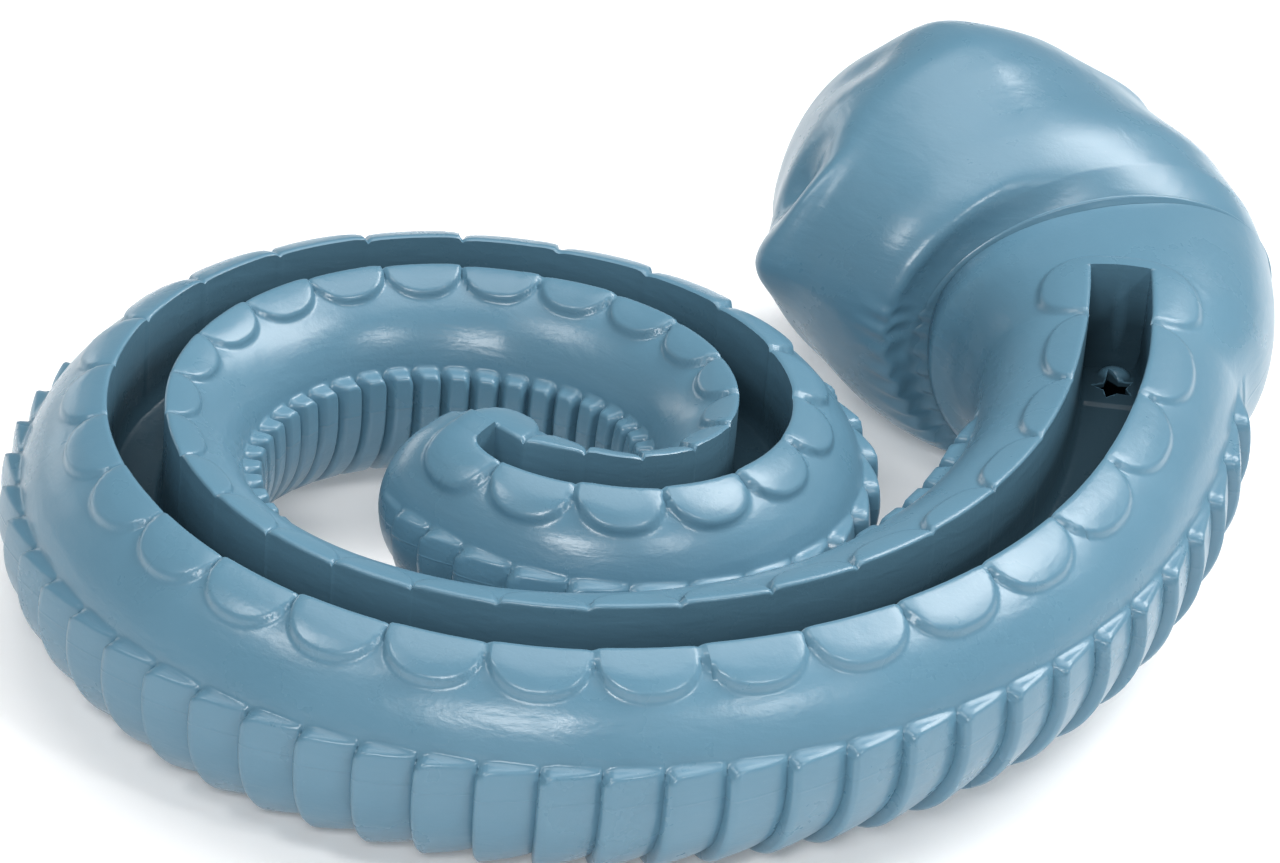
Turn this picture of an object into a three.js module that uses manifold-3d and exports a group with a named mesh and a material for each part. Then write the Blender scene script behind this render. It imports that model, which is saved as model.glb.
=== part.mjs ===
// Coiled snake treat toy in soft moulded rubber. Millimetres, +Z up, resting on z = 0.
//
// The body is a thick tube coiled in a clockwise spiral from the head to the tail, with an open
// treat channel along its back. The head is a hollow cup bonded to the neck. A star-cut hole in the
// channel floor leads through the neck into the head.
//
// The real body is one elastic moulding. Here it is divided into rigid sections that meet at flat
// faces, so that each face can stand for the bending of the rubber around it.
import * as THREE from "three";
import Module from "manifold-3d";
import { mergeVertices } from "three/addons/utils/BufferGeometryUtils.js";

// ---- Driving dimensions ----

// Centreline of the coil, from the neck to the point of the channel at the tail.
const COIL_LENGTH = 419;
const COIL_START = { x: 62.8, y: 29.2, heading: THREE.MathUtils.degToRad(-87) };
// [fraction of COIL_LENGTH, radius of the turn there]; the curvature changes evenly in between.
const TURN_RADII = [[0, 198], [0.2, 85.2], [0.4, 61.5], [0.6, 44.7], [0.8, 43.9], [0.9, 30], [1, 16.7]];
const TAIL_CAP_LENGTH = 18.5;
const TAIL_CAP_TURN_RADIUS = 45;
const TAIL_ROUNDING = 12; // the tail closes bluntly over this length

// [fraction, value] along the coil.
const TUBE_HALF_WIDTH = [
  [0, 19.6], [0.12, 17.6], [0.25, 16.4], [0.5, 16], [0.8, 15.6], [0.88, 15.2], [0.95, 13],
];
const TUBE_TOP = [[0, 34.7], [0.75, 31.3], [0.88, 33.2], [1, 37.5]];
const TUBE_BOTTOM = [[0, 0], [0.75, 0], [0.88, 3.4], [1, 11]];
const SOLE_SINK = 1.1; // how far the round underside is cut away to leave the flat sole
// How square the tube's shoulders are on each side of the channel; 2 is an ellipse.
const OUTER_SHOULDER = [[0, 2.4], [0.17, 2], [1, 2]];
const INNER_SHOULDER = [[0, 2.4], [0.1, 2.6], [0.2, 3.6], [0.42, 3.6], [0.6, 2.4], [1, 2.1]];

// The treat channel.
const CHANNEL_START = 8; // its end wall, measured like the section joints
const CHANNEL_END = 424;
const CHANNEL_HALF_WIDTH = [[0, 4.1], [0.018, 4.2], [0.07, 4.6], [0.25, 4.1], [0.5, 3.8], [1, 3.5]];
const CHANNEL_OFFSET = [[0, 0], [0.1, 0.2], [0.25, 0.8], [0.36, 0.8], [0.5, -0.4], [0.65, 0], [1, 0]];
const CHANNEL_DEPTH_RATIO = 0.465;
const CHANNEL_POINT_LENGTH = 12; // the channel narrows to a point over this length at the tail
const CHANNEL_POINT_OFFSET = 3; // the point lies this far to the outer side

// Where the rubber's bending is gathered, measured along the centreline from its start at the neck.
const SECTION_JOINTS = [42, 101, 159, 218, 277, 335, 386];
const SECTION_GAP = 0.4;

// The neck swells from NECK_FLARE_START and turns from NECK_TURN_START, back to the bond ring, which
// is an upright oval.
const NECK_FLARE_START = 18;
const NECK_TURN_START = 9;
const RING_STATION = -9;
const RING = { heading: THREE.MathUtils.degToRad(113), halfWidth: 27.5, top: 36.2, bottom: -8, widest: 18 };

// Head sections, from the ring to the snout: forward distance, half-width, shift towards the coil's
// inner side, top, bottom, height of the widest line, and how round the outline is above and below
// that line (2 is an ellipse, less is roof-shaped). The widest section is across the jaw's corners.
const HEAD_HEADING = THREE.MathUtils.degToRad(128);
const HEAD_TURN_LENGTH = 8; // the sections turn from the ring's heading to the head's over this length
const HEAD_SECTIONS = [
  { forward: 0, halfWidth: 27.5, shift: 0, top: 36.2, bottom: -8, widest: 18, above: 2, below: 2 },
  { forward: 8, halfWidth: 33.2, shift: 1.8, top: 42.4, bottom: -10, widest: 20, above: 2, below: 1.9 },
  { forward: 18, halfWidth: 35, shift: 3, top: 45.8, bottom: -11, widest: 21.5, above: 1.8, below: 1.75 },
  { forward: 27, halfWidth: 36, shift: 3.2, top: 48.8, bottom: -11, widest: 22.5, above: 1.6, below: 1.55 },
  { forward: 30, halfWidth: 37, shift: 3.4, top: 49.6, bottom: -11, widest: 22.5, above: 1.56, below: 1.5 },
  { forward: 36, halfWidth: 31.5, shift: 2.8, top: 49.4, bottom: -11, widest: 22, above: 1.65, below: 1.55 },
  { forward: 42, halfWidth: 26.6, shift: 2.6, top: 47, bottom: -10.5, widest: 21, above: 1.8, below: 1.65 },
  { forward: 49, halfWidth: 21.3, shift: 2.5, top: 41.2, bottom: -9, widest: 19, above: 1.9, below: 1.75 },
  { forward: 55, halfWidth: 15.4, shift: 2.2, top: 35.2, bottom: -5, widest: 17, above: 2, below: 1.9 },
  { forward: 60, halfWidth: 8.8, shift: 1.2, top: 27.5, bottom: 2, widest: 15, above: 2, below: 2 },
  { forward: 62.5, halfWidth: 3.6, shift: 0.4, top: 19.3, bottom: 9, widest: 14, above: 2, below: 2 },
];
const HEAD_WALL = 5;
const HEAD_HOLLOW_SECTIONS = 8; // the hollow ends at this many sections from the ring
const BOND_GAP = 0.35;

// The star-cut hole and the passage from it to the head.
const STAR = { points: 5, outerRadius: 3.1, innerRadius: 1.6, fromEndWall: 5.2, offset: 0.8 };
const PASSAGE = { radius: 5, height: 9, reachPastRing: 6 };

// The head's underside hangs lower than the coil's, so the toy rests on the head and on the front of
// the coil. The coil's own plane is tipped up by this much towards the head.
const REST_TILT = THREE.MathUtils.degToRad(3.24);
const REST_DIRECTION = THREE.MathUtils.degToRad(59.5); // from the coil's resting point to the head
const REST_LIFT = 5.1;

const TUBE_SIDES = 28;
const STEP_LENGTH = 6.5;
const NECK_STEP_LENGTH = 4;
const TAIL_STEP_LENGTH = 3.5;
const RUBBER = { color: 0x4f7f99, roughness: 0.42, metalness: 0 };

const wasm = await Module();
wasm.setup();

// ---- Curves ----

/** Value at fraction t of a [[fraction, value], ...] list, held constant beyond its ends. */
function along(list, t) {
  if (t <= list[0][0]) return list[0][1];
  for (let i = 1; i < list.length; i += 1) {
    const [t0, v0] = list[i - 1];
    const [t1, v1] = list[i];
    if (t <= t1) return THREE.MathUtils.lerp(v0, v1, (t - t0) / (t1 - t0));
  }
  return list[list.length - 1][1];
}

const CURVATURE = TURN_RADII.map(([t, radius]) => [t, 1 / radius]);

function curvatureAt(s) {
  if (s > COIL_LENGTH) return 1 / TAIL_CAP_TURN_RADIUS;
  return along(CURVATURE, s / COIL_LENGTH);
}

/** Centreline points every millimetre, found by following the curvature. */
function traceCentreline() {
  const points = [{ ...COIL_START }];
  for (let s = 0; s < COIL_LENGTH + TAIL_CAP_LENGTH; s += 1) {
    const last = points[points.length - 1];
    const turn = curvatureAt(s + 0.5);
    const middle = last.heading - turn / 2;
    points.push({
      x: last.x + Math.cos(middle),
      y: last.y + Math.sin(middle),
      heading: last.heading - turn,
    });
  }
  return points;
}
const CENTRELINE = traceCentreline();

/** Centreline point and heading at s millimetres from the centreline's start. */
function station(s) {
  const i = Math.min(Math.max(Math.floor(s), 0), CENTRELINE.length - 2);
  const a = CENTRELINE[i];
  const b = CENTRELINE[i + 1];
  const f = s - i;
  return {
    x: THREE.MathUtils.lerp(a.x, b.x, f),
    y: THREE.MathUtils.lerp(a.y, b.y, f),
    heading: THREE.MathUtils.lerp(a.heading, b.heading, f),
  };
}

/** A point beside a station: side is measured to the left of its heading. */
function beside(place, side, height) {
  return new THREE.Vector3(
    place.x - side * Math.sin(place.heading),
    place.y + side * Math.cos(place.heading),
    height,
  );
}

// ---- Solids ----

/** A closed surface through rings of equal point counts, with a fan over each end. */
function loft(rings) {
  const count = rings[0].length;
  const positions = [];
  const triangle = (...corners) => corners.forEach((p) => positions.push(p.x, p.y, p.z));
  for (let r = 1; r < rings.length; r += 1) {
    for (let i = 0; i < count; i += 1) {
      const j = (i + 1) % count;
      triangle(rings[r - 1][i], rings[r - 1][j], rings[r][j]);
      triangle(rings[r - 1][i], rings[r][j], rings[r][i]);
    }
  }
  const first = rings[0];
  const last = rings[rings.length - 1];
  for (let i = 1; i < count - 1; i += 1) {
    triangle(first[0], first[i + 1], first[i]);
    triangle(last[0], last[i], last[i + 1]);
  }
  const geometry = new THREE.BufferGeometry();
  geometry.setAttribute("position", new THREE.Float32BufferAttribute(positions, 3));
  return geometry;
}

function toManifold(geometry) {
  const bare = geometry.clone();
  bare.deleteAttribute("normal");
  bare.deleteAttribute("uv");
  const merged = mergeVertices(bare, 1e-4);
  const mesh = new wasm.Mesh({
    numProp: 3,
    vertProperties: Float32Array.from(merged.attributes.position.array),
    triVerts: Uint32Array.from(merged.index.array),
  });
  return new wasm.Manifold(mesh);
}

function fromManifold(manifold) {
  const mesh = manifold.getMesh();
  const geometry = new THREE.BufferGeometry();
  geometry.setAttribute("position", new THREE.BufferAttribute(mesh.vertProperties, 3));
  geometry.setIndex(new THREE.BufferAttribute(mesh.triVerts, 1));
  return geometry;
}

/**
 * An upright oval ring of points around a place, with its underside cut flat at its bottom. powers
 * gives the exponents of the oval's width and height at a point; 1 and 1 make an ellipse.
 */
function ovalRing(place, { halfWidth, top, bottom, widest, powers }) {
  const points = [];
  for (let i = 0; i < TUBE_SIDES; i += 1) {
    const angle = ((i + 0.5) / TUBE_SIDES) * 2 * Math.PI;
    const across = Math.cos(angle);
    const up = Math.sin(angle);
    const [acrossPower, upPower] = powers(across, up);
    const reach = up > 0 ? top - widest : widest - bottom + SOLE_SINK;
    const height = widest + reach * Math.sign(up) * Math.abs(up) ** upPower;
    const side = halfWidth * Math.sign(across) * Math.abs(across) ** acrossPower;
    points.push(beside(place, side, Math.max(bottom, height)));
  }
  return points;
}

// ---- The body tube and its channel ----

function tubeSize(s) {
  const t = s / COIL_LENGTH;
  const swell = THREE.MathUtils.clamp((NECK_FLARE_START - s) / (NECK_FLARE_START - RING_STATION), 0, 1);
  const eased = THREE.MathUtils.smoothstep(swell, 0, 1);
  const tubeTop = along(TUBE_TOP, t);
  const tubeBottom = along(TUBE_BOTTOM, t);
  const outer = along(OUTER_SHOULDER, t);
  const inner = along(INNER_SHOULDER, t);
  return {
    halfWidth: THREE.MathUtils.lerp(along(TUBE_HALF_WIDTH, t), RING.halfWidth, eased),
    top: THREE.MathUtils.lerp(tubeTop, RING.top, swell),
    bottom: THREE.MathUtils.lerp(tubeBottom, RING.bottom, eased),
    widest: THREE.MathUtils.lerp((tubeTop + tubeBottom) / 2, RING.widest, swell),
    powers: (across, up) => {
      const shoulder = across > 0 ? outer : inner;
      return up > 0 ? [1 / shoulder + 0.5, 2 / shoulder] : [1, 1];
    },
  };
}

function steps(from, to, length) {
  const count = Math.max(2, Math.ceil((to - from) / length));
  return Array.from({ length: count + 1 }, (_, i) => THREE.MathUtils.lerp(from, to, i / count));
}

function tubeRing(s) {
  return ovalRing(s < NECK_TURN_START ? neckPlace(s) : station(s), tubeSize(s));
}

/** The rounded end of the tail: the tube shrinks towards its middle. */
function tailCapRings(from) {
  const end = COIL_LENGTH + TAIL_CAP_LENGTH;
  const start = end - TAIL_ROUNDING;
  const rings = steps(from, start, TAIL_STEP_LENGTH).map(tubeRing);
  const size = tubeSize(end);
  for (const share of [0.3, 0.5, 0.68, 0.82, 0.93, 0.985]) {
    const shrink = (1 - share ** 2.5) ** 0.4;
    rings.push(ovalRing(station(start + TAIL_ROUNDING * share), {
      ...size,
      halfWidth: size.halfWidth * shrink,
      top: size.widest + (size.top - size.widest) * shrink,
      bottom: size.widest - (size.widest - size.bottom) * shrink,
    }));
  }
  return rings;
}

function channelHalfWidth(s) {
  const narrowing = Math.sqrt(THREE.MathUtils.clamp((CHANNEL_END - s) / CHANNEL_POINT_LENGTH, 0.001, 1));
  return along(CHANNEL_HALF_WIDTH, s / COIL_LENGTH) * narrowing;
}

function channelMiddle(s) {
  const atPoint = THREE.MathUtils.smoothstep(s, CHANNEL_END - 16, CHANNEL_END);
  return along(CHANNEL_OFFSET, s / COIL_LENGTH) + CHANNEL_POINT_OFFSET * atPoint;
}

function channelFloor(s) {
  const { top, bottom } = tubeSize(Math.max(s, NECK_FLARE_START));
  return top - (top - bottom) * CHANNEL_DEPTH_RATIO;
}

/** The space of the channel between two stations, reaching up past the body's back. */
function channelCutter(from, to) {
  const length = to > CHANNEL_END - CHANNEL_POINT_LENGTH ? TAIL_STEP_LENGTH : STEP_LENGTH;
  const rings = steps(Math.max(from, CHANNEL_START), Math.min(to, CHANNEL_END), length).map((s) => {
    const place = station(s);
    const outer = channelMiddle(s) + channelHalfWidth(s);
    const inner = channelMiddle(s) - channelHalfWidth(s);
    const floor = channelFloor(s);
    const above = tubeSize(s).top + 5;
    const corners = [[outer, above], [inner, above], [inner, floor], [outer, floor]];
    return corners.map(([side, z]) => beside(place, side, z));
  });
  return toManifold(loft(rings));
}

const RESTING = new THREE.Matrix4()
  .makeRotationAxis(new THREE.Vector3(Math.sin(REST_DIRECTION), -Math.cos(REST_DIRECTION), 0), REST_TILT)
  .setPosition(0, 0, REST_LIFT);

/** A mesh of the solid as it rests, pressed flat where it meets the table, placed at its own middle. */
function namedMesh(name, solid, place) {
  const geometry = fromManifold(solid.transform(RESTING.toArray()).trimByPlane([0, 0, 1], 0));
  const middle = new THREE.Vector3(place.x, place.y, 0).applyMatrix4(RESTING);
  geometry.translate(-middle.x, -middle.y, -middle.z);
  geometry.computeVertexNormals();
  const mesh = new THREE.Mesh(geometry, new THREE.MeshStandardMaterial(RUBBER));
  mesh.name = name;
  mesh.position.copy(middle);
  return mesh;
}

function coilSection(name, from, to) {
  const start = from + SECTION_GAP / 2;
  const end = to - SECTION_GAP / 2;
  const tube = toManifold(loft(steps(start, end, STEP_LENGTH).map(tubeRing)));
  const body = tube.subtract(channelCutter(start - 1, end + 1));
  return namedMesh(name, body, station((from + to) / 2));
}

function tailSection(name, from) {
  const start = from + SECTION_GAP / 2;
  const body = toManifold(loft(tailCapRings(start))).subtract(channelCutter(start - 1, CHANNEL_END));
  return namedMesh(name, body, station(COIL_LENGTH));
}

// ---- The neck ----

/** Where the neck's sections stand: on the centreline run straight back, turning to the ring. */
function neckPlace(s) {
  const { x, y, heading } = station(Math.max(s, 0));
  const before = Math.min(s, 0);
  const share = THREE.MathUtils.smoothstep(NECK_TURN_START - s, 0, NECK_TURN_START - RING_STATION);
  return {
    x: x + before * Math.cos(heading),
    y: y + before * Math.sin(heading),
    heading: heading + (RING.heading - Math.PI - COIL_START.heading) * share,
  };
}

/** The star-cut hole through the channel floor. */
function starCutter() {
  const shape = new THREE.Shape();
  for (let i = 0; i < 2 * STAR.points; i += 1) {
    const radius = i % 2 === 0 ? STAR.outerRadius : STAR.innerRadius;
    const angle = (i / STAR.points) * Math.PI + Math.PI / 2;
    const x = radius * Math.cos(angle);
    const y = radius * Math.sin(angle);
    if (i === 0) shape.moveTo(x, y);
    else shape.lineTo(x, y);
  }
  const depth = channelFloor(CHANNEL_START) - PASSAGE.height + 1;
  const geometry = new THREE.ExtrudeGeometry(shape, { depth, bevelEnabled: false });
  const middle = beside(station(CHANNEL_START + STAR.fromEndWall), STAR.offset, PASSAGE.height);
  geometry.translate(middle.x, middle.y, middle.z);
  return toManifold(geometry);
}

/** The passage under the channel floor, from below the star to the head's hollow. */
function passageCutter() {
  const start = station(CHANNEL_START + STAR.fromEndWall + PASSAGE.radius);
  const ring = neckPlace(RING_STATION);
  const end = {
    x: ring.x + PASSAGE.reachPastRing * Math.cos(RING.heading),
    y: ring.y + PASSAGE.reachPastRing * Math.sin(RING.heading),
  };
  const length = Math.hypot(end.x - start.x, end.y - start.y);
  const geometry = new THREE.CylinderGeometry(PASSAGE.radius, PASSAGE.radius, length, 20);
  geometry.rotateZ(Math.atan2(end.y - start.y, end.x - start.x) - Math.PI / 2);
  geometry.translate((start.x + end.x) / 2, (start.y + end.y) / 2, PASSAGE.height);
  return toManifold(geometry);
}

function neck() {
  const end = SECTION_JOINTS[0] - SECTION_GAP / 2;
  const body = toManifold(loft(steps(RING_STATION, end, NECK_STEP_LENGTH).map(tubeRing)))
    .subtract(channelCutter(CHANNEL_START, end + 1))
    .subtract(starCutter())
    .subtract(passageCutter());
  return namedMesh("neck", body, station(NECK_FLARE_START));
}

// ---- The head ----

function headPlace(forward, shift) {
  const ring = neckPlace(RING_STATION);
  const turned = THREE.MathUtils.smoothstep(forward, 0, HEAD_TURN_LENGTH);
  const heading = THREE.MathUtils.lerp(RING.heading, HEAD_HEADING, turned);
  return {
    x: ring.x + forward * Math.cos(HEAD_HEADING) - shift * Math.sin(heading),
    y: ring.y + forward * Math.sin(HEAD_HEADING) + shift * Math.cos(heading),
    heading,
  };
}

function headRing(section, forward, wall) {
  return ovalRing(headPlace(forward, section.shift), {
    halfWidth: section.halfWidth - wall,
    top: section.top - wall,
    bottom: section.bottom + wall,
    widest: section.widest,
    powers: (_, up) => {
      const power = 2 / (up > 0 ? section.above : section.below);
      return [power, power];
    },
  });
}

function headShell() {
  const outer = HEAD_SECTIONS.map((section, i) => (
    headRing(section, section.forward + (i === 0 ? BOND_GAP : 0), 0)
  ));
  const inner = HEAD_SECTIONS.slice(0, HEAD_HOLLOW_SECTIONS).map((section, i) => (
    headRing(section, section.forward - (i === 0 ? 1 : HEAD_WALL / 2), HEAD_WALL)
  ));
  const shell = toManifold(loft(outer)).subtract(toManifold(loft(inner)));
  return namedMesh("head", shell, headPlace(HEAD_SECTIONS[3].forward, 0));
}

// ---- Assembly ----

const group = new THREE.Group();
group.add(headShell(), neck());
for (let i = 1; i < SECTION_JOINTS.length; i += 1) {
  group.add(coilSection(`coil_section_${i}`, SECTION_JOINTS[i - 1], SECTION_JOINTS[i]));
}
group.add(tailSection("tail", SECTION_JOINTS[SECTION_JOINTS.length - 1]));

// The origin is on the table, under the middle of the whole toy.
const bounds = new THREE.Box3().setFromObject(group);
const origin = bounds.getCenter(new THREE.Vector3()).setZ(bounds.min.z);
group.children.forEach((mesh) => mesh.position.sub(origin));

export default group;
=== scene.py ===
"""Looks of the coiled snake treat toy: a rubber skin along its spiral, its head and a plain studio."""

import math
from types import SimpleNamespace

import bpy
import numpy as np
from mathutils import Matrix, Vector


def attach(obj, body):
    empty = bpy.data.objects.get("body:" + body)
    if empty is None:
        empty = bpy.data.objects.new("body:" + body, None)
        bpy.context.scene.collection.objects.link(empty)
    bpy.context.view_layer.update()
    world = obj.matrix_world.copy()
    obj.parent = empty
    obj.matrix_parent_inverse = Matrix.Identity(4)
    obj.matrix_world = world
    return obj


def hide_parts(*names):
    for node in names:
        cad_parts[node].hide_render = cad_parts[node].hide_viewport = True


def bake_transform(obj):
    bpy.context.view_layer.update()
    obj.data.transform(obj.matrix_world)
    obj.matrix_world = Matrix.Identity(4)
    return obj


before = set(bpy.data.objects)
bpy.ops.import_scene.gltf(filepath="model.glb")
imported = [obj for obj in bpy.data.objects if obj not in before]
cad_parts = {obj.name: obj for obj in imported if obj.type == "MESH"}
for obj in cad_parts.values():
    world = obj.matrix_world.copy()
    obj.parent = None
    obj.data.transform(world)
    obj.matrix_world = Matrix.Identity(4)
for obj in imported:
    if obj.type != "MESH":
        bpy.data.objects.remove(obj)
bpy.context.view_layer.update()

MM = 0.001

# ---- The coil, in millimetres, in the coil's own frame (its plane is z = 0) ----
COIL_LENGTH = 419.0
COIL_START = (62.8, 29.2, math.radians(-87))
TURN_RADII = [(0, 198), (0.2, 85.2), (0.4, 61.5), (0.6, 44.7), (0.8, 43.9), (0.9, 30), (1, 16.7)]
TAIL_CAP_LENGTH = 18.5
TAIL_ROUNDING = 12.0   # the tail closes over this length
TAIL_CAP_TURN_RADIUS = 45.0
TUBE_HALF_WIDTH = [(0, 19.6), (0.12, 17.6), (0.25, 16.4), (0.5, 16), (0.8, 15.6), (0.88, 15.2), (0.95, 13)]
TUBE_TOP = [(0, 34.7), (0.75, 31.3), (0.88, 33.2), (1, 37.5)]
TUBE_BOTTOM = [(0, 0), (0.75, 0), (0.88, 3.4), (1, 11)]
CHANNEL_START = 8.0
CHANNEL_END = 424.0
CHANNEL_HALF_WIDTH = [(0, 4.1), (0.018, 4.2), (0.07, 4.6), (0.25, 4.1), (0.5, 3.8), (1, 3.5)]
CHANNEL_OFFSET = [(0, 0), (0.1, 0.2), (0.25, 0.8), (0.36, 0.8), (0.5, -0.4), (0.65, 0), (1, 0)]
OUTER_SHOULDER = [(0, 2.4), (0.17, 2.0), (1, 2.0)]
INNER_SHOULDER = [(0, 2.4), (0.1, 2.6), (0.2, 3.6), (0.42, 3.6), (0.6, 2.4), (1, 2.1)]
CHANNEL_DEPTH_RATIO = 0.465
CHANNEL_POINT_LENGTH = 12.0
CHANNEL_POINT_OFFSET = 3.0   # the channel's point lies this far to the outer side
SECTION_JOINTS = [42, 101, 159, 218, 277, 335, 386]
STAR_STATION = 13.2
STAR_OFFSET = 0.8

# The bond ring between neck and head, and the head's sections from there to the snout.
RING = dict(x=62.3, y=38.2, heading=math.radians(113), half=27.5, top=36.2, bottom=-8.0, mid=18.0)
FLARE_START = 18.0     # the neck swells from here ...
RING_STATION = -9.0    # ... to here
TURN_START = 9.0       # and turns towards the head from here
HEAD_HEADING = math.radians(128)
HEAD_TURN_LENGTH = 8.0   # the head's sections turn to its own heading over this length
HEAD = dict(
    forward=[0, 8, 18, 27, 31.5, 36, 42, 49, 55, 60, 62.5, 63.2],
    half=[27.5, 32.2, 34.7, 35.8, 35.6, 32.4, 26.6, 21.3, 15.4, 8.8, 3.6, 0.4],
    shift=[0, 1.8, 3.0, 3.2, 3.4, 2.8, 2.6, 2.5, 2.2, 1.2, 0.4, 0.2],
    top=[36.2, 41.2, 45.4, 48.8, 49.8, 49.4, 47.4, 41.2, 35.2, 27.5, 19.3, 15],
    bottom=[-8, -10, -11, -11, -11, -11, -10.5, -9, -5, 2, 9, 13],
    mid=[18, 20, 21.5, 22.5, 22.5, 22, 21, 19, 17, 15, 14, 14],
    above=[2, 2, 1.8, 1.6, 1.56, 1.65, 1.8, 1.9, 2, 2, 2, 2],
    below=[2, 1.9, 1.75, 1.55, 1.5, 1.55, 1.65, 1.75, 1.9, 2, 2, 2],
)

# ---- How the toy rests: the coil's plane is tipped up towards the head ----
REST_TILT = math.radians(3.24)
REST_DIRECTION = math.radians(59.5)
REST_LIFT = 5.1
ORIGIN = (-0.9673, -4.0382)

# ---- Raised detail ----
SCALE_COUNT = 32
SCALE_REACH = 7.6      # from the channel's edge to a scale's round edge
REACH_SHARE = [(0, 1.0), (0.7, 0.95), (1, 0.9)]      # of that, along the coil
INNER_REACH = [(0, 0.8), (0.1, 0.72), (0.2, 0.6), (0.42, 0.62), (0.6, 0.8), (1, 0.8)]   # on the inner side
SCALE_HEIGHT = 1.2
SCALE_POWER = 2.3      # roundness of a scale's outline
SCALE_MAX_GIRTH = 75.0     # degrees round from the top
FIRST_SCALE = dict(middle=13.5, head_end=4.6, half_width=11.8)   # wraps the channel's head end
LAST_SCALE = dict(middle=423.5, length=4.7, tail_end=429.5, half_width=8.6)   # wraps its point
WRAP_POWER = 2.5
PLATE_EDGE = (-0.3, 0.95)    # a raised plate's edge rises over this distance
PLATE_CROWN = (0.4, 3.4)     # and its top over this one
SCUTE_PHASE = 2.78     # in scales, the tail-ward edge of one belly plate
SCUTE_PITCH = 0.512    # in scales
SCUTE_HEIGHT = 2.3
SCUTE_TOP = 72.0       # degrees round from the top
SCUTE_CORNER = 1.7     # radius of a belly plate's corners
UNDER_CLEARANCE = 1.3  # from the smooth belly to the plates' lowest edge

# ---- The channel's floor and the star-cut hole in it ----
FLOOR_CORNER = 0.28    # share of the floor's half-width that the rounded corner takes
CORNER_RISE = 0.54
SWELL = dict(ahead=3.3, length=1.7, width=2.3, height=1.3)   # swelling on the hole's head-ward side
STAR = dict(outer=3.2, inner=1.75, turn=0.25, levels=(9.0, 18.0, 20.5))
STAR_HOLE_RADIUS = 4.6
DEEPEST = 22.0         # millimetres, inside the star-cut hole; there the painted shade is nearly black

STEP = 0.45            # between the skin's rings
SHARP_ANGLE = math.radians(62)


def along(table, t):
    return np.interp(t, [a for a, _ in table], [b for _, b in table])


def smooth(a, b, v):
    t = np.clip((v - a) / (b - a), 0, 1)
    return t * t * (3 - 2 * t)


def trace():
    """Centreline x, y and heading at every millimetre from the coil's start to the tail's end."""
    x, y, h = COIL_START
    points = [(x, y, h)]
    curvature = [(a, 1.0 / r) for a, r in TURN_RADII]
    for s in range(int(COIL_LENGTH + TAIL_CAP_LENGTH)):
        k = 1 / TAIL_CAP_TURN_RADIUS if s + 0.5 > COIL_LENGTH else along(curvature, (s + 0.5) / COIL_LENGTH)
        m = h - k / 2
        x, y, h = x + math.cos(m), y + math.sin(m), h - k
        points.append((x, y, h))
    return np.array(points)


CENTRE = trace()
STATION = np.arange(len(CENTRE), dtype=float)


def place(s):
    """Centreline x, y and heading at stations s; before the start it runs straight on."""
    s = np.asarray(s, float)
    inside = np.clip(s, 0, STATION[-1])
    x, y, h = (np.interp(inside, STATION, CENTRE[:, i]) for i in range(3))
    before = np.minimum(s, 0)
    return x + before * np.cos(h), y + before * np.sin(h), h


def scale_station(index):
    """Stations of the scale boundaries: long scales at the neck, short ones at the tail."""
    k = np.asarray(index, float) / SCALE_COUNT
    q = k * (1 - k)
    return COIL_LENGTH * (k + 0.294 * q + 0.124 * q * (1 - 2 * k) + 0.2 * q * (1 - 6 * k + 6 * k * k))


INDEX = np.linspace(-2, SCALE_COUNT + 3, 3701)
INDEX_STATION = np.where(
    INDEX < 0, INDEX * 20.4,
    np.where(INDEX > SCALE_COUNT, COIL_LENGTH + (INDEX - SCALE_COUNT) * 9,
             scale_station(np.clip(INDEX, 0, SCALE_COUNT))))


def scale_index(s):
    return np.interp(s, INDEX_STATION, INDEX)


REST = np.array(
    Matrix.Translation((-ORIGIN[0], -ORIGIN[1], REST_LIFT))
    @ Matrix.Rotation(REST_TILT, 4, Vector((math.sin(REST_DIRECTION), -math.cos(REST_DIRECTION), 0))))


def to_row(points):
    """Coil frame millimetres to row frame metres."""
    return (np.asarray(points, float) @ REST[:3, :3].T + REST[:3, 3]) * MM


# ---- The body's smooth size ----

def body_sizes(s):
    """Half-width, top, bottom and widest height of the smooth body at stations s."""
    t = np.clip(s, 0, COIL_LENGTH) / COIL_LENGTH
    half = along(TUBE_HALF_WIDTH, t)
    top = along(TUBE_TOP, t)
    sole = along(TUBE_BOTTOM, t)
    bottom = sole + UNDER_CLEARANCE
    mid = (top + sole) / 2
    v = np.clip((FLARE_START - s) / (FLARE_START - RING_STATION), 0, 1)
    half = half + (RING["half"] - half) * smooth(0, 1, v) ** 0.85
    top = top + (RING["top"] - top) * v
    bottom = bottom + (RING["bottom"] - bottom) * smooth(0, 1, v)
    mid = mid + (RING["mid"] - mid) * v
    # The tail closes bluntly.
    end = COIL_LENGTH + TAIL_CAP_LENGTH
    start = end - TAIL_ROUNDING
    shrink = np.clip(1 - (np.clip(s - start, 0, None) / (end - start)) ** 2.5, 0, 1) ** 0.4
    shrink = np.where(s < start, 1.0, shrink)
    return half * shrink, mid + (top - mid) * shrink, mid - (mid - bottom) * shrink, mid


# From the coil's start heading, the short way round, to square with the bond ring.
RING_TURN = math.remainder(RING["heading"] - math.pi - COIL_START[2], 2 * math.pi)


def ring_place(s):
    """Middle and heading of the skin's ring at stations s; it turns into the head at the neck."""
    x, y, h = place(s)
    v = np.clip((TURN_START - s) / (TURN_START - RING_STATION), 0, 1)
    return x, y, h + RING_TURN * smooth(0, 1, v)


# ---- Raised scales and belly plates, as heights above the smooth body ----

def plate(near):
    """Profile of a raised plate: a rounded edge and a slightly crowned top; near is the distance inside."""
    return 0.86 * smooth(*PLATE_EDGE, near) + 0.14 * smooth(*PLATE_CROWN, near)


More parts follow.
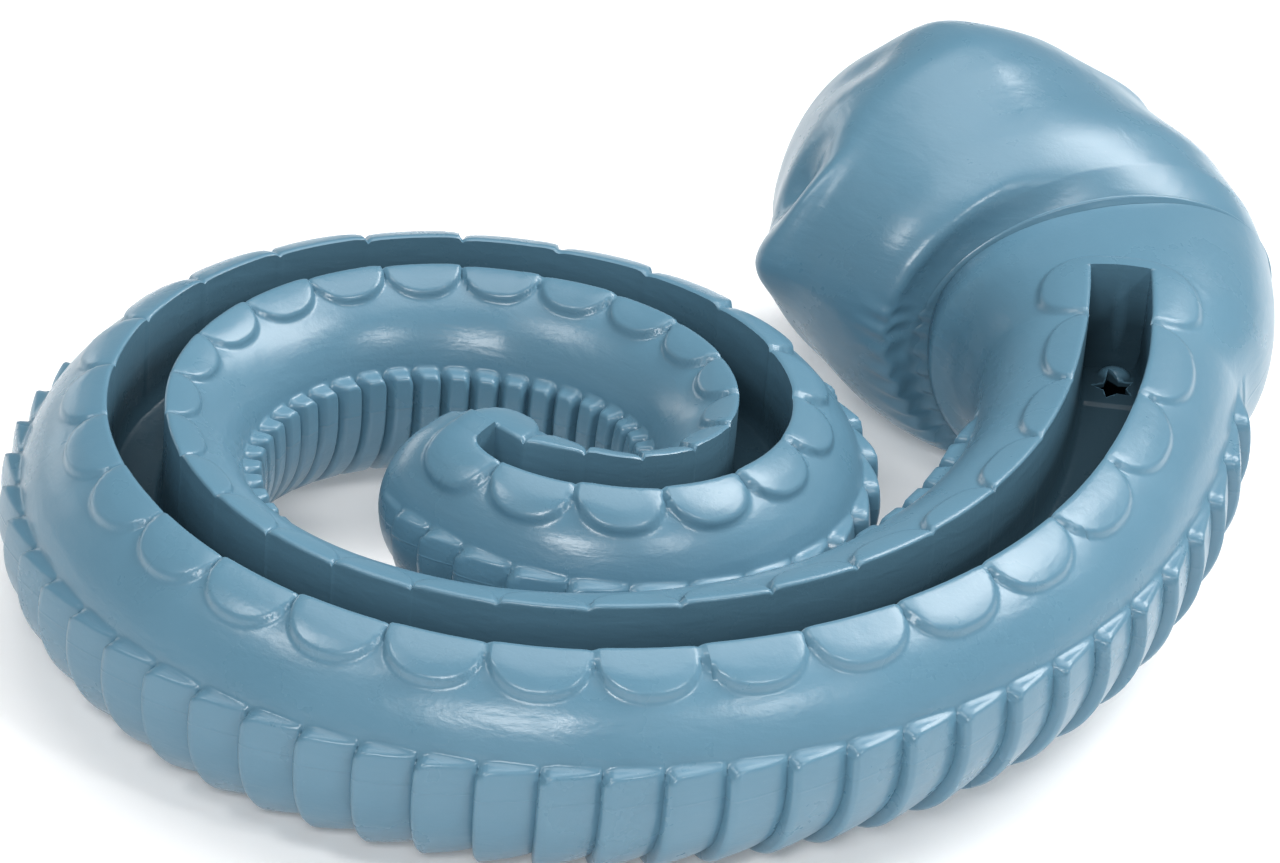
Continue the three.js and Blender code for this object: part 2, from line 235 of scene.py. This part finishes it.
def wrapping_plate(s, lateral, middle, before, after, half_width, size):
    """A rounded plate that reaches before and after its middle station."""
    d = (s - middle) / np.where(s < middle, before, after)
    radius = (np.abs(lateral / half_width) ** WRAP_POWER + np.abs(d) ** WRAP_POWER) ** (1 / WRAP_POWER)
    return plate((1 - radius) * size)


def scales(s, lateral, edge, reach):
    """Height of the half-round scales; lateral is measured from the centreline, edge is the channel's."""
    k = scale_index(s)
    out = np.abs(lateral) - edge
    cell = np.clip(np.floor(k), 1, SCALE_COUNT - 1)
    low = np.interp(cell, INDEX, INDEX_STATION)
    high = np.interp(cell + 1, INDEX, INDEX_STATION)
    f = (s - low) / (high - low)
    across = np.clip(1 - np.abs(2 * f - 1) ** SCALE_POWER, 0, 1) ** (1 / SCALE_POWER)
    inside = reach * across - np.maximum(out, 0)
    # Distance from the outline is roughly the smaller of the two ways out.
    ends = np.minimum(f, 1 - f) * (high - low) + 0.15
    near = np.minimum(inside, ends * 1.6)
    tilt = 0.72 + 0.34 * f
    plain = plate(near) * tilt

    first_end = float(np.interp(1.0, INDEX, INDEX_STATION))
    middle = FIRST_SCALE["middle"]
    first = wrapping_plate(s, lateral, middle, middle - FIRST_SCALE["head_end"], first_end - middle,
                           FIRST_SCALE["half_width"], size=10)
    middle = LAST_SCALE["middle"]
    last = wrapping_plate(s, lateral, middle, LAST_SCALE["length"], LAST_SCALE["tail_end"] - middle,
                          LAST_SCALE["half_width"], size=8)
    return SCALE_HEIGHT * np.where(k < 1, first, np.where(k >= SCALE_COUNT, last, plain))


def corner_line(distance):
    """How far a rounded corner cuts back a plate's edge, this far from its end."""
    bite = np.clip(SCUTE_CORNER - distance, 0, SCUTE_CORNER)
    return SCUTE_CORNER - np.sqrt(np.clip(SCUTE_CORNER ** 2 - bite ** 2, 0, None))


def scutes(s, girth, radius):
    """Height of the overlapping belly plates; girth is degrees round from the top."""
    k = (scale_index(s) - SCUTE_PHASE) / SCUTE_PITCH
    cell = np.floor(k)
    f = k - cell
    low = np.interp(cell * SCUTE_PITCH + SCUTE_PHASE, INDEX, INDEX_STATION)
    high = np.interp((cell + 1) * SCUTE_PITCH + SCUTE_PHASE, INDEX, INDEX_STATION)
    length = high - low
    to_edge = (1 - f) * length
    down = np.radians(np.abs(girth) - SCUTE_TOP) * radius
    inner = girth < 0
    line = corner_line(to_edge) + np.where(inner, corner_line(f * length), 0)
    shingle = 0.12 + 0.88 * f ** 0.75
    pillow = 0.1 + 0.9 * smooth(-0.05, 0.4, f)
    rise = np.where(inner, pillow, shingle)
    lip = smooth(-0.1, 0.9, down - line)
    nose = 1 - 0.25 * smooth(0.45, 0.0, to_edge)
    fade = np.where(inner, smooth(30, 48, s), smooth(12, 25, s))
    fade = fade * smooth(COIL_LENGTH + TAIL_CAP_LENGTH - 4, COIL_LENGTH + 4, s)
    return SCUTE_HEIGHT * rise * nose * lip * fade


# ---- The body skin as rings of points ----

LIP = np.concatenate([[0.0, 0.22, 0.5], np.arange(0.85, 9.3, 0.38)])   # from the channel's edge outward
WALL_SHARE = np.array([0.25, 0.7, 1.6, 3.5, 6.0, 9.0, 12.0]) / 14.0   # of the wall's height, from the top
FLOOR = np.linspace(1, -1, 19)[1:-1]   # across the floor, outer wall to inner wall
BAND_POINTS, EDGE_POINTS, UNDER_POINTS = 9, 15, 56   # beside the scales, at the plates' edge, and below


def ring_stations():
    end = COIL_LENGTH + TAIL_CAP_LENGTH
    regular = np.arange(RING_STATION, end - 0.6, STEP)
    first = math.floor((scale_index(RING_STATION) - SCUTE_PHASE) / SCUTE_PITCH)
    last = math.ceil((scale_index(end) - SCUTE_PHASE) / SCUTE_PITCH)
    edges = np.interp(np.arange(first, last) * SCUTE_PITCH + SCUTE_PHASE, INDEX, INDEX_STATION)
    special = [e + d for e in edges for d in (-0.22, -0.04, 0.1)]
    special += [CHANNEL_START + d for d in (-0.3, -0.03, 0.03, 0.3)]
    special += [CHANNEL_END - 0.05, CHANNEL_END - 0.01]
    special += list(end - np.array([0.5, 0.25, 0.08, 0.015]))
    special = np.array([q for q in special if RING_STATION + 0.1 < q < end])
    keep = [q for q in regular if np.min(np.abs(special - q)) > 0.14]
    return np.sort(np.concatenate([keep, special]))


def column(values):
    """One value per ring, ready to work with the points round it."""
    return values[:, None]


def rings_at(s):
    """What the skin's rings at stations s are built from, one value per ring."""
    half, top, bottom, mid = body_sizes(s)
    x, y, heading = ring_place(s)
    share = np.clip(s, 0, COIL_LENGTH) / COIL_LENGTH
    skew = heading - place(s)[2]
    point = np.clip((CHANNEL_END - s) / CHANNEL_POINT_LENGTH, 0, 1)
    edge = np.maximum(along(CHANNEL_HALF_WIDTH, share) * np.sqrt(point), 0.12) / np.cos(skew)
    aside = along(CHANNEL_OFFSET, share) + CHANNEL_POINT_OFFSET * smooth(CHANNEL_END - 16, CHANNEL_END, s)
    return SimpleNamespace(
        s=column(s), share=share, x=column(x), y=column(y), heading=column(heading), skew=column(skew),
        half=column(half), top=column(top), bottom=column(bottom), mid=column(mid),
        mean=column((half + top - mid) / 2),
        offset=column(aside), edge=column(np.minimum(edge, half * 0.3 + 0.001)),
        opened=column((s > CHANNEL_START) & (s < CHANNEL_END - 0.02)),
        outer_shoulder=column(along(OUTER_SHOULDER, share)),
        inner_shoulder=column(along(INNER_SHOULDER, share)))


def side_power(shoulder):
    return 1 / shoulder + 0.5


def turn_at(ring, side, shoulder):
    """Angle from the top at which the skin is this far to the side."""
    share = np.clip(side / np.maximum(ring.half, 0.01), 0.001, 0.95)
    return np.arcsin(share ** (1 / side_power(shoulder)))


def ring_angles(ring, turn_outer, turn_inner):
    """Angles from the top of the points round each ring, closest at the lips and at the plates' edges."""
    low_top = math.radians(SCUTE_TOP - 6)
    low_in = math.radians(SCUTE_TOP + 9)
    reach = np.minimum(LIP[None, :] / ring.mean, 0.85)
    lip_outer = turn_outer + reach
    lip_inner = turn_inner + reach
    u = np.linspace(0, 1, BAND_POINTS + 2)[1:-1]
    band_outer = lip_outer[:, -1:] + (low_top - lip_outer[:, -1:]) * u
    band_inner = lip_inner[:, -1:] + (low_top - lip_inner[:, -1:]) * u
    rows = (len(ring.s), 1)
    edge_line = np.linspace(low_top, low_in, EDGE_POINTS)
    under = np.linspace(low_in, 2 * math.pi - low_in, UNDER_POINTS)[1:-1]
    return np.concatenate([
        lip_outer, band_outer, np.tile(edge_line, rows), np.tile(under, rows),
        np.tile(2 * math.pi - edge_line[::-1], rows),
        2 * math.pi - band_inner[:, ::-1], 2 * math.pi - lip_inner[:, ::-1]], axis=1)


def oval(ring, angle):
    """Sideways and upward place of the smooth skin's points, and the outward direction there."""
    sine, cosine = np.sin(angle), np.cos(angle)
    upper = cosine > 0
    shoulder = np.where(sine > 0, ring.outer_shoulder, ring.inner_shoulder)
    side = ring.half * np.sign(sine) * np.abs(sine) ** np.where(upper, side_power(shoulder), 1.0)
    up = np.where(upper, ring.top - ring.mid, ring.mid - ring.bottom)
    height = ring.mid + up * np.sign(cosine) * np.abs(cosine) ** np.where(upper, 2 / shoulder, 1.0)
    ny = sine / ring.half
    nz = cosine / np.maximum(up, 0.2)
    size = np.sqrt(ny ** 2 + nz ** 2)
    return side, height, ny / size, nz / size


def raised_detail(ring, angle, girth, side, turn_outer, turn_inner):
    """Height of the scales and belly plates over the smooth skin."""
    outer = np.sin(angle) > 0
    arc = np.where(outer, (angle - turn_outer) * ring.mean, (2 * math.pi - angle - turn_inner) * ring.mean)
    reach = SCALE_REACH * column(along(REACH_SHARE, ring.share))
    reach = reach * np.where(outer, 1.0, column(along(INNER_REACH, ring.share)))
    # The neck's rings stand askew to the channel, so its scales are placed from the channel's own line.
    lateral = (side - ring.offset) * np.cos(ring.skew)
    ahead = (side - ring.offset) * np.sin(ring.skew)
    station = ring.s - np.where(ring.s < FLARE_START, ahead, 0)
    out = np.where(station < 24, np.abs(lateral), arc + ring.edge)
    raised = scales(station, out * np.sign(lateral), ring.edge * np.cos(ring.skew), reach)
    raised = np.where(np.abs(girth) < SCALE_MAX_GIRTH, raised, 0)
    raised = raised * smooth(-1.5, 0.5, station) * (0.75 + 0.25 * smooth(45, 120, station))
    lip_round = 0.3 * np.clip(1 - arc / 0.5, 0, 1) ** 2 * ring.opened
    return raised - lip_round + scutes(ring.s + 0 * angle, girth, ring.mean)


def channel_rows(ring, rim_outer, rim_inner):
    """The channel down one wall, across the floor and up the other, and where the swelling is spared the
    painted channel shade so it stays pale as if lit.
    """
    floor = ring.top - (ring.top - (ring.bottom - UNDER_CLEARANCE)) * CHANNEL_DEPTH_RATIO
    flare = int(np.searchsorted(ring.s[:, 0], FLARE_START))
    floor = np.where(ring.s < FLARE_START, float(floor[flare, 0]) + 0.35, floor)
    walls = [(rim[0] + 0 * WALL_SHARE, rim[1] - (rim[1] - floor - 0.6) * WALL_SHARE)
             for rim in (rim_outer, rim_inner)]
    middle = (rim_outer[0] + rim_inner[0]) / 2
    width = (rim_outer[0] - rim_inner[0]) / 2
    floor_side = middle + width * FLOOR[None, :] * 0.985
    corner = CORNER_RISE * (np.clip(np.abs(FLOOR) - (1 - FLOOR_CORNER), 0, 1) / FLOOR_CORNER) ** 2
    swell_ahead = (ring.s - (STAR_STATION - SWELL["ahead"])) / SWELL["length"]
    swell_aside = (floor_side - middle - STAR_OFFSET) / SWELL["width"]
    swell = np.hypot(swell_ahead, swell_aside)
    swelling = SWELL["height"] * np.sqrt(np.clip(1 - swell ** 2, 0, 1)) * ring.opened
    run = np.concatenate([walls[0][0], floor_side, walls[1][0][:, ::-1]], 1)
    rise = np.concatenate([walls[0][1], floor + corner[None, :] + swelling, walls[1][1][:, ::-1]], 1)
    # Share of the painted shade lifted at each point: none on the walls, most on the swelling, so the bump
    # stays pale as if lit.
    dark = np.zeros((len(ring.s), len(WALL_SHARE)))
    return run, rise, np.concatenate([dark, np.clip(1.3 - swell, 0, 1), dark], 1)


def closed_rows(ring, rim_outer, rim_inner, count):
    """The crowned skin from rim to rim where there is no channel."""
    share = np.linspace(0, 1, count + 2)[1:-1][None, :]
    run = rim_outer[0] + (rim_inner[0] - rim_outer[0]) * share

    def level(side):
        return np.clip(1 - (side / np.maximum(ring.half, 0.01)) ** 2, 0, 1) ** (1 / ring.outer_shoulder)

    crown = (ring.top - ring.mid) * (level(run) - level(rim_outer[0]))
    return run, rim_outer[1] + (rim_inner[1] - rim_outer[1]) * share + crown


def skin_ring_points(s):
    """Points round the skin at each station: (rings, round, 3), their girth in degrees and channel depth,
    which sets the painted shade.
    """
    ring = rings_at(s)
    turn_outer = turn_at(ring, ring.offset + ring.edge, ring.outer_shoulder)
    turn_inner = turn_at(ring, ring.edge - ring.offset, ring.inner_shoulder)
    angle = ring_angles(ring, turn_outer, turn_inner)
    girth = np.degrees(np.where(angle > math.pi, angle - 2 * math.pi, angle))
    side, height, ny, nz = oval(ring, angle)
    raised = raised_detail(ring, angle, girth, side, turn_outer, turn_inner)
    side = side + ny * raised
    height = height + nz * raised

    rim_outer = side[:, :1], height[:, :1]
    rim_inner = side[:, -1:], height[:, -1:]
    run, rise, lit = channel_rows(ring, rim_outer, rim_inner)
    closed_run, closed_rise = closed_rows(ring, rim_outer, rim_inner, run.shape[1])
    run = np.where(ring.opened, run, closed_run)
    rise = np.where(ring.opened, rise, closed_rise)
    # Channel depth for the painted shade, lessened on the swelling so that it stays pale as if lit.
    depth = np.clip(ring.top - rise, 0, 19) * (1 - 0.85 * np.clip(lit * 2, 0, 1))

    around = np.concatenate([side, run[:, ::-1]], 1)
    px = ring.x - around * np.sin(ring.heading)
    py = ring.y + around * np.cos(ring.heading)
    pz = np.concatenate([height, rise[:, ::-1]], 1)
    girths = np.concatenate([girth, np.zeros_like(run)], 1)
    depths = np.concatenate([np.zeros_like(girth), depth[:, ::-1]], 1)
    return np.stack([px, py, pz], 2), girths, depths


def grid_mesh(name, points, attributes):
    """A closed tube of quads through rings of points."""
    rings, around = points.shape[:2]
    co = to_row(points.reshape(-1, 3))
    co[:, 2] = np.maximum(co[:, 2], 0.0)
    i = np.arange(rings - 1)[:, None] * around
    j = np.arange(around)[None, :]
    k = (j + 1) % around
    quads = np.stack([i + j, i + k, i + around + k, i + around + j], 2).reshape(-1, 4)
    faces = quads[:, ::-1].tolist()
    faces.append(list(range(around)))
    faces.append([(rings - 1) * around + q for q in range(around)][::-1])
    mesh = bpy.data.meshes.new(name)
    mesh.from_pydata(co.tolist(), [], faces)
    for key, values in attributes.items():
        attribute = mesh.attributes.new(key, "FLOAT", "POINT")
        attribute.data.foreach_set("value", np.asarray(values, np.float32).ravel())
    mesh.polygons.foreach_set("use_smooth", np.ones(len(mesh.polygons), bool))
    mesh.update()
    mesh.set_sharp_from_angle(angle=SHARP_ANGLE)
    obj = bpy.data.objects.new(name, mesh)
    bpy.context.scene.collection.objects.link(obj)
    return obj


# ---- Material ----

BASE_COLOURS = (0.086, 0.190, 0.266, 1), (0.102, 0.218, 0.300, 1)   # the pigment's slow cloudiness
SPECK_COLOUR = (0.3, 0.42, 0.48, 1)
SPECK_STRENGTH = 0.12
PARTING_LINE = 88.0    # degrees round from the top


def grey(value):
    return (value, value, value, 1)


class Shading:
    """A material's nodes, with a short call for each kind that the rubber uses."""

    def __init__(self, name):
        self.material = bpy.data.materials.new(name)
        self.material.use_nodes = True
        self.nodes = self.material.node_tree.nodes
        self.link = self.material.node_tree.links.new
        self.shader = self.nodes["Principled BSDF"]
        self.place = self.nodes.new("ShaderNodeTexCoord").outputs["Object"]

    def set(self, socket, value):
        """Give an input a plain value or link it to another node's output."""
        if isinstance(value, (int, float, tuple)):
            socket.default_value = value
        else:
            self.link(value, socket)

    def noise(self, scale, detail, rough=0.5, distortion=0.0, at=None):
        node = self.nodes.new("ShaderNodeTexNoise")
        node.inputs["Scale"].default_value = scale
        node.inputs["Detail"].default_value = detail
        node.inputs["Roughness"].default_value = rough
        node.inputs["Distortion"].default_value = distortion
        self.link(self.place if at is None else at, node.inputs["Vector"])
        return node.outputs["Fac"]

    def stretched(self, scale):
        node = self.nodes.new("ShaderNodeMapping")
        node.inputs["Scale"].default_value = scale
        self.link(self.place, node.inputs["Vector"])
        return node.outputs["Vector"]

    def ramp(self, source, stops):
        node = self.nodes.new("ShaderNodeValToRGB")
        first, last = node.color_ramp.elements
        first.position, first.color = stops[0]
        last.position, last.color = stops[-1]
        for position, colour in stops[1:-1]:
            node.color_ramp.elements.new(position).color = colour
        self.link(source, node.inputs["Fac"])
        return node.outputs["Color"]

    def maths(self, operation, a, b=0.0):
        node = self.nodes.new("ShaderNodeMath")
        node.operation = operation
        self.set(node.inputs[0], a)
        self.set(node.inputs[1], b)
        return node.outputs["Value"]

    def mix(self, factor, a, b, blend="MIX"):
        node = self.nodes.new("ShaderNodeMix")
        node.data_type = "RGBA"
        node.blend_type = blend
        self.set(node.inputs["Factor"], factor)
        self.set(node.inputs["A"], a)
        self.set(node.inputs["B"], b)
        return node.outputs["Result"]

    def attribute(self, name):
        node = self.nodes.new("ShaderNodeAttribute")
        node.attribute_name = name
        return node.outputs["Fac"]


def rubber_colour(look):
    """Cloudy pigment with fine pale specks, and painted shade that darkens it deep in the channel and turns
    it nearly black in the star-cut hole.
    """
    cloud = look.ramp(look.noise(28, 4), [(0.3, BASE_COLOURS[0]), (0.72, BASE_COLOURS[1])])
    speck = look.ramp(look.noise(1700, 2), [(0.70, grey(0)), (0.80, grey(1))])
    mixed = look.mix(look.maths("MULTIPLY", speck, SPECK_STRENGTH), cloud, SPECK_COLOUR)
    # Painted shade: the colour darkens with the channel depth attribute, from full colour near the top to
    # nearly black in the star-cut hole.
    shade = look.ramp(look.maths("DIVIDE", look.attribute("depth"), DEEPEST),
                      [(0.06, grey(1)), (0.42, grey(0.3)), (0.88, grey(0.3)), (1.0, grey(0.01))])
    look.set(look.shader.inputs["Base Color"], look.mix(1.0, mixed, shade, "MULTIPLY"))
    # Painted shade too: the same factor dims the reflections deep in the channel.
    look.set(look.shader.inputs["Specular IOR Level"], look.maths("MULTIPLY", shade, 0.5))


def rubber_gloss(look):
    """Semi-gloss, duller in patches where it has been handled."""
    gloss = look.ramp(look.noise(60, 5, 0.6), [(0.3, grey(0.24)), (0.75, grey(0.36))])
    look.set(look.shader.inputs["Roughness"], gloss)
    look.shader.inputs["IOR"].default_value = 1.5


def rubber_bump(look):
    """Fine mould texture, short flow wrinkles, slow unevenness and the thin parting line."""
    wrinkle = look.noise(140, 5, distortion=0.3, at=look.stretched((1, 1, 3)))
    girth = look.maths("ABSOLUTE", look.attribute("girth"))
    off_line = look.maths("ABSOLUTE", look.maths("SUBTRACT", girth, PARTING_LINE))
    line = look.maths("SUBTRACT", 1.0, look.maths("MINIMUM", look.maths("DIVIDE", off_line, 0.8), 1.0))
    height = look.maths("MULTIPLY", look.noise(1500, 3, 0.6), 0.05)
    for layer, strength in ((wrinkle, 0.35), (line, 0.12), (look.noise(24, 2), 1.6)):
        height = look.maths("ADD", height, look.maths("MULTIPLY", layer, strength))
    bump = look.nodes.new("ShaderNodeBump")
    bump.inputs["Strength"].default_value = 0.5
    bump.inputs["Distance"].default_value = 0.0008
    look.link(height, bump.inputs["Height"])
    look.link(bump.outputs["Normal"], look.shader.inputs["Normal"])


def rubber():
    look = Shading("rubber")
    rubber_colour(look)
    rubber_gloss(look)
    rubber_bump(look)
    return look.material


# ---- The body, in pieces that each span one joint ----

def star_cutter():
    """A closed star-shaped prism, in the row frame, through the channel's floor."""
    x, y, h = (float(q) for q in place(STAR_STATION))
    x, y = x - STAR_OFFSET * math.sin(h), y + STAR_OFFSET * math.cos(h)
    ring = []
    for i in range(10):
        radius = STAR["outer"] if i % 2 == 0 else STAR["inner"]
        turn = i * math.pi / 5 + math.pi / 2 + STAR["turn"]
        ring.append((x + radius * math.cos(turn), y + radius * math.sin(turn)))
    points = to_row([(a, b, z) for z in STAR["levels"] for a, b in ring])
    faces = [list(range(10))[::-1], list(range(20, 30))]
    faces += [[low + i, low + (i + 1) % 10, low + 10 + (i + 1) % 10, low + 10 + i]
              for low in (0, 10) for i in range(10)]
    mesh = bpy.data.meshes.new("star_cutter")
    mesh.from_pydata([tuple(p) for p in points], [], faces)
    cutter = bpy.data.objects.new("star_cutter", mesh)
    bpy.context.scene.collection.objects.link(cutter)
    return cutter


def cut(piece, cutter):
    """Take the cutter's shape out of the piece, and mark the hole as the channel's deepest part, so that
    painted shade turns it nearly black.
    """
    modifier = piece.modifiers.new("cut", "BOOLEAN")
    modifier.operation = "DIFFERENCE"
    modifier.solver = "EXACT"
    modifier.object = cutter
    graph = bpy.context.evaluated_depsgraph_get()
    result = bpy.data.meshes.new_from_object(piece.evaluated_get(graph))
    piece.modifiers.clear()
    piece.data = result
    bpy.data.objects.remove(cutter)
    # The hole's walls get the deepest value, which paints them nearly black as shade.
    x, y, _ = (float(q) for q in place(STAR_STATION))
    middle = Vector(to_row([x, y, 14.0]))
    depth = result.attributes["depth"].data
    for vertex in result.vertices:
        away = (vertex.co - middle) / MM
        if math.hypot(away.x, away.y) < STAR_HOLE_RADIUS and -6 < away.z < 4.3:
            depth[vertex.index].value = DEEPEST


BODIES = ["head_and_neck", "coil_section_1", "coil_section_2", "coil_section_3", "coil_section_4",
          "coil_section_5", "coil_section_6", "tail"]


def body_skin(material):
    """One piece across each joint; each piece ends halfway between two joints."""
    stations = ring_stations()
    points, girths, depths = skin_ring_points(stations)
    halfway = [(a + b) / 2 for a, b in zip(SECTION_JOINTS, SECTION_JOINTS[1:])]
    bounds = [RING_STATION] + halfway + [COIL_LENGTH + 30]
    cuts = [int(np.argmin(np.abs(stations - b))) for b in bounds]
    for number, joint in enumerate(SECTION_JOINTS):
        rows = slice(cuts[number], cuts[number + 1] + 1)
        name = "body_skin_%d" % (number + 1)
        piece = grid_mesh(name, points[rows], {"girth": girths[rows], "depth": depths[rows]})
        if number == 0:
            cut(piece, star_cutter())
        piece.data.materials.clear()
        piece.data.materials.append(material)
        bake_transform(piece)
        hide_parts("neck" if number == 0 else BODIES[number])
    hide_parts("tail")


# ---- The head ----

def even(values, at):
    """A smooth curve through the head's section values."""
    x = np.array(HEAD["forward"], float)
    y = np.array(values, float)
    slope = np.gradient(y, x)
    i = np.clip(np.searchsorted(x, at, side="right") - 1, 0, len(x) - 2)
    w = x[i + 1] - x[i]
    t = (at - x[i]) / w
    return ((2 * t ** 3 - 3 * t ** 2 + 1) * y[i] + (t ** 3 - 2 * t ** 2 + t) * w * slope[i]
            + (3 * t ** 2 - 2 * t ** 3) * y[i + 1] + (t ** 3 - t ** 2) * w * slope[i + 1])


def head_bulge(f, side, height, mid):
    """How far the head's surface stands out of its plain sections, in millimetres."""
    def blob(forward, aside, level, length, width, tall):
        return np.exp(-((f - forward) / length) ** 2 - ((np.abs(side) - aside) / width) ** 2
                      - ((height - level) / tall) ** 2)

    # Eye hollows, the brow over them, and the sharp cheek edge that runs down to the jaw's corner.
    bulge = -5.5 * blob(34.0, 27, 30, 3.4, 7, 6.5)
    bulge += 1.5 * blob(28.3, 30, 30, 1.9, 9, 9)
    bulge += 2.0 * blob(29.5, 36, 22.5, 4.0, 8, 5.5) * np.where(side > 0, 1.0, 0.2)
    bulge += -2.0 * blob(43, 12, 46, 5, 6, 9)
    # A plain mouth line round the snout and two small nostrils.
    bulge += -1.1 * np.exp(-((height - mid + 3.5) / 0.9) ** 2) * smooth(33, 38, f) * smooth(62.5, 60, f)
    bulge += -1.2 * blob(57, 5, 29, 1.6, 1.5, 1.6)
    return bulge


def head_rim(f, angle):
    """The rim's height over the neck: a chamfer, flash at its foot and folds on the inner side."""
    sine, cosine = np.sin(angle)[None, :], np.cos(angle)[None, :]
    chamfer = 1.5 * np.clip(f / 4.2, 0, 1) * smooth(24, 7, f)
    flash = 0.6 * smooth(0.2, 0.45, f) * smooth(1.0, 0.7, f)
    inner_side = smooth(0.55, 0.8, sine) * smooth(0.35, 0.1, cosine)
    fold = 0.6 * np.sin(angle * 46)[None, :] * smooth(13, 3, f) * inner_side
    return (chamfer + flash) * smooth(-0.5, 0.0, cosine) + fold


def head_points():
    """Points round the head at each section: (sections, round, 3)."""
    forward = np.concatenate([np.arange(0, 6, 0.2), np.arange(6, 61.5, 0.6), [61.8, 62.3, 62.7, 63.0, 63.2]])
    angle = np.linspace(0, 2 * math.pi, 320, endpoint=False)
    half, shift, top, bottom, mid, above, below = (
        np.asarray(even(HEAD[key], forward))[:, None] for key in
        ("half", "shift", "top", "bottom", "mid", "above", "below"))
    half = np.maximum(half, 0.3)
    f = forward[:, None]
    sine, cosine = np.sin(angle)[None, :], np.cos(angle)[None, :]
    upper = cosine > 0
    power = np.where(upper, 2 / above, 2 / below)
    side = half * np.sign(sine) * np.abs(sine) ** power
    up = np.where(upper, top - mid, mid - bottom)
    height = mid + up * np.sign(cosine) * np.abs(cosine) ** power

    bulge = head_bulge(f, side, height, mid)
    rim = head_rim(f, angle)
    ny = sine / half
    nz = cosine / up
    size = np.sqrt(ny ** 2 + nz ** 2)
    side = side + ny / size * bulge + sine * rim + shift
    height = height + nz / size * bulge + cosine * rim
    heading = RING["heading"] + (HEAD_HEADING - RING["heading"]) * smooth(0, HEAD_TURN_LENGTH, f)
    x = RING["x"] + f * math.cos(HEAD_HEADING) - side * np.sin(heading)
    y = RING["y"] + f * math.sin(HEAD_HEADING) + side * np.cos(heading)
    return np.stack([x, y, height], 2)[:, ::-1]


def head_skin(material):
    points = head_points()
    nothing = np.zeros(points.shape[:2])
    head = grid_mesh("head_skin", points, {"girth": nothing, "depth": nothing})
    head.data.materials.append(material)
    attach(head, "head_and_neck")
    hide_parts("head")


RUBBER = rubber()
body_skin(RUBBER)
head_skin(RUBBER)


# ---- Studio ----

FLOOR_HALF = 6.0       # metres
FLOOR_DROP = 0.0002    # the floor lies this far below the toy, so that the two faces don't meet


def studio_floor():
    material = bpy.data.materials.new("floor")
    material.use_nodes = True
    shader = material.node_tree.nodes["Principled BSDF"]
    shader.inputs["Base Color"].default_value = (0.85, 0.85, 0.85, 1)
    shader.inputs["Roughness"].default_value = 0.8
    shader.inputs["Specular IOR Level"].default_value = 0.2
    shader.inputs["Emission Color"].default_value = (1, 1, 1, 1)
    shader.inputs["Emission Strength"].default_value = 0.18
    mesh = bpy.data.meshes.new("floor")
    corners = [(x * FLOOR_HALF, y * FLOOR_HALF, -FLOOR_DROP) for x, y in ((-1, -1), (1, -1), (1, 1), (-1, 1))]
    mesh.from_pydata(corners, [], [(0, 1, 2, 3)])
    mesh.materials.append(material)
    floor = bpy.data.objects.new("floor", mesh)
    bpy.context.scene.collection.objects.link(floor)


def softbox(name, at, toward, width, depth, power):
    light = bpy.data.lights.new(name, "AREA")
    light.shape = "RECTANGLE"
    light.size, light.size_y = width, depth
    light.energy = power
    lamp = bpy.data.objects.new(name, light)
    lamp.location = at
    lamp.rotation_euler = (Vector(toward) - Vector(at)).to_track_quat("-Z", "Y").to_euler()
    bpy.context.scene.collection.objects.link(lamp)


def studio_sky():
    """A pale surround, brightest at the horizon."""
    world = bpy.data.worlds.new("studio")
    world.use_nodes = True
    nodes, link = world.node_tree.nodes, world.node_tree.links.new
    split = nodes.new("ShaderNodeSeparateXYZ")
    link(nodes.new("ShaderNodeTexCoord").outputs["Generated"], split.inputs["Vector"])
    glow = nodes.new("ShaderNodeValToRGB")
    horizon, overhead = glow.color_ramp.elements
    horizon.position, horizon.color = 0.05, (1, 1, 1, 1)
    overhead.position, overhead.color = 0.6, (0.2, 0.2, 0.2, 1)
    link(split.outputs["Z"], glow.inputs["Fac"])
    link(glow.outputs["Color"], nodes["Background"].inputs["Color"])
    nodes["Background"].inputs["Strength"].default_value = 0.36
    bpy.context.scene.world = world
    bpy.context.scene.view_settings.view_transform = "Standard"


studio_floor()
TOY = (0, 0, 0)
softbox("softbox_right", (0.79, 0.42, 1.07), TOY, 0.95, 0.55, 18)
softbox("softbox_near_right", (0.75, -0.77, 0.90), TOY, 0.17, 0.15, 3.6)
softbox("softbox_front", (-0.12, -1.13, 0.82), TOY, 0.42, 0.2, 8)
softbox("softbox_left", (-0.77, -0.38, 1.1), TOY, 0.3, 0.3, 4)
softbox("softbox_back_left", (-1.0, 1.0, 0.25), (0, 0, 0.05), 0.8, 0.3, 2)
softbox("softbox_above", (0, 0.3, 2.0), TOY, 1.5, 1.5, 20)
studio_sky()


# ---- Camera ----
CAMERA_AT = (-3.684, -743.919, 469.520)   # coil frame
CAMERA_PITCH = math.radians(31.459)
CAMERA_ROLL = math.radians(4.858)
FOCAL_LENGTH = 172.37                     # millimetres
SENSOR_WIDTH = 36.0


def studio_camera():
    forward = Vector((0, math.cos(CAMERA_PITCH), -math.sin(CAMERA_PITCH)))
    right = Vector((1, 0, 0))
    up = Vector((0, math.sin(CAMERA_PITCH), math.cos(CAMERA_PITCH)))
    rolled_right = math.cos(CAMERA_ROLL) * right + math.sin(CAMERA_ROLL) * up
    rolled_up = -math.sin(CAMERA_ROLL) * right + math.cos(CAMERA_ROLL) * up
    axes = Matrix((rolled_right, rolled_up, -forward)).transposed()
    turned = Matrix(REST[:3, :3].tolist()) @ axes
    data = bpy.data.cameras.new("camera")
    data.sensor_width = SENSOR_WIDTH
    data.lens = FOCAL_LENGTH
    data.clip_start = 0.05
    camera = bpy.data.objects.new("camera", data)
    camera.matrix_world = Matrix.Translation(Vector(to_row(CAMERA_AT))) @ turned.to_4x4()
    bpy.context.scene.collection.objects.link(camera)
    bpy.context.scene.camera = camera


studio_camera()
